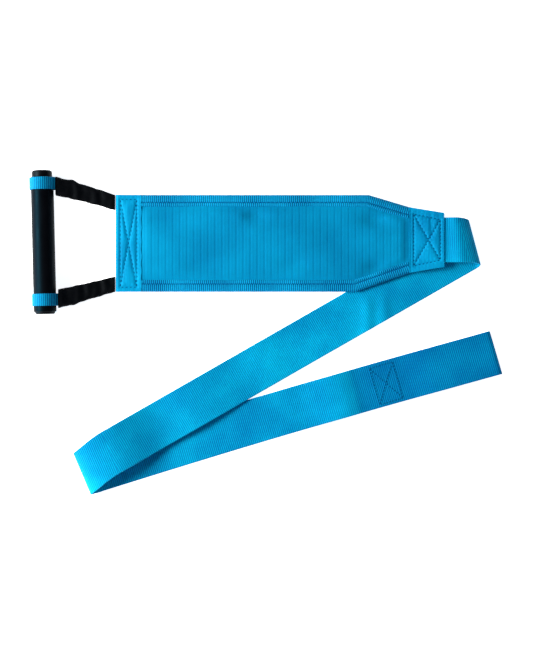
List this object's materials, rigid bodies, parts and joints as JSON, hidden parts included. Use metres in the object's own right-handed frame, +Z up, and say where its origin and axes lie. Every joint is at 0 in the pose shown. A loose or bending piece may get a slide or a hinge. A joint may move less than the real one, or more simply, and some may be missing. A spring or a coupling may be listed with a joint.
{
  "type": "gait belt",
  "caption": "Padded back panel with a rigid bar handle on one end and a long flat webbing strap on the other, folded twice and ending in a sewn hand loop.",
  "frame": {"origin": "centre of the laid-out belt's plan, on the surface it lies on", "axes": "+X from the handle towards the hand loop, +Y across the belt towards the panel side, +Z up off the surface"},
  "size_m": [0.5274, 0.3616, 0.0284],
  "materials": {
    "strap_webbing": "ribbed woven webbing",
    "panel_face": "fine ribbed fabric",
    "tab_fabric": "plain weave",
    "binding": "ribbed tape",
    "lining": "plain weave",
    "foam": "soft foam padding",
    "thread": "sewing thread",
    "handle_webbing": "narrow ribbed webbing",
    "sleeve": "soft black sleeving",
    "grip": "satin",
    "end_cap": "satin moulded"
  },
  "bodies": {
    "lower_run": {"strap_lower_run": "strap_webbing", "hand_loop_stitching": "thread"},
    "middle_run": {"strap_middle_run": "strap_webbing"},
    "panel": {"strap_upper_run": "strap_webbing", "panel_lining": "lining", "panel_foam": "foam", "panel_face": "panel_face", "edge_binding_upper": "binding", "edge_binding_lower": "binding", "binding_seam_upper": "thread", "binding_seam_lower": "thread", "left_tab": "tab_fabric", "left_tab_stitching": "thread", "handle_anchor_webbing": "handle_webbing", "right_tab_front": "tab_fabric", "right_tab_back": "tab_fabric", "right_tab_stitching": "thread"},
    "handle_bail": {"handle_webbing_upper": "handle_webbing", "handle_webbing_lower": "handle_webbing", "sleeve_upper": "sleeve", "sleeve_lower": "sleeve"},
    "grip": {"grip_tube": "grip", "end_cap_upper": "end_cap", "end_cap_lower": "end_cap"}
  },
  "joints": [
    {"name": "left_fold", "type": "hinge", "parent": "lower_run", "child": "middle_run", "pos_m": [-0.20575, -0.15753, 0.0075], "axis": [0.3923, -0.9198, 0], "range_deg": [0, 165]},
    {"name": "right_fold", "type": "hinge", "parent": "middle_run", "child": "panel", "pos_m": [0.23188, 0.10386, 0.0065], "axis": [-0.2571, 0.9664, 0], "range_deg": [0, 165]},
    {"name": "handle_swing", "type": "hinge", "parent": "panel", "child": "handle_bail", "pos_m": [-0.16892, 0.10026, 0.0084], "axis": [0, 1, 0], "range_deg": [0, 158]},
    {"name": "grip_turn", "type": "hinge", "parent": "handle_bail", "child": "grip", "pos_m": [-0.24782, 0.10146, 0.0142], "axis": [-0.0236, 0.9997, 0], "continuous": true}
  ]
}
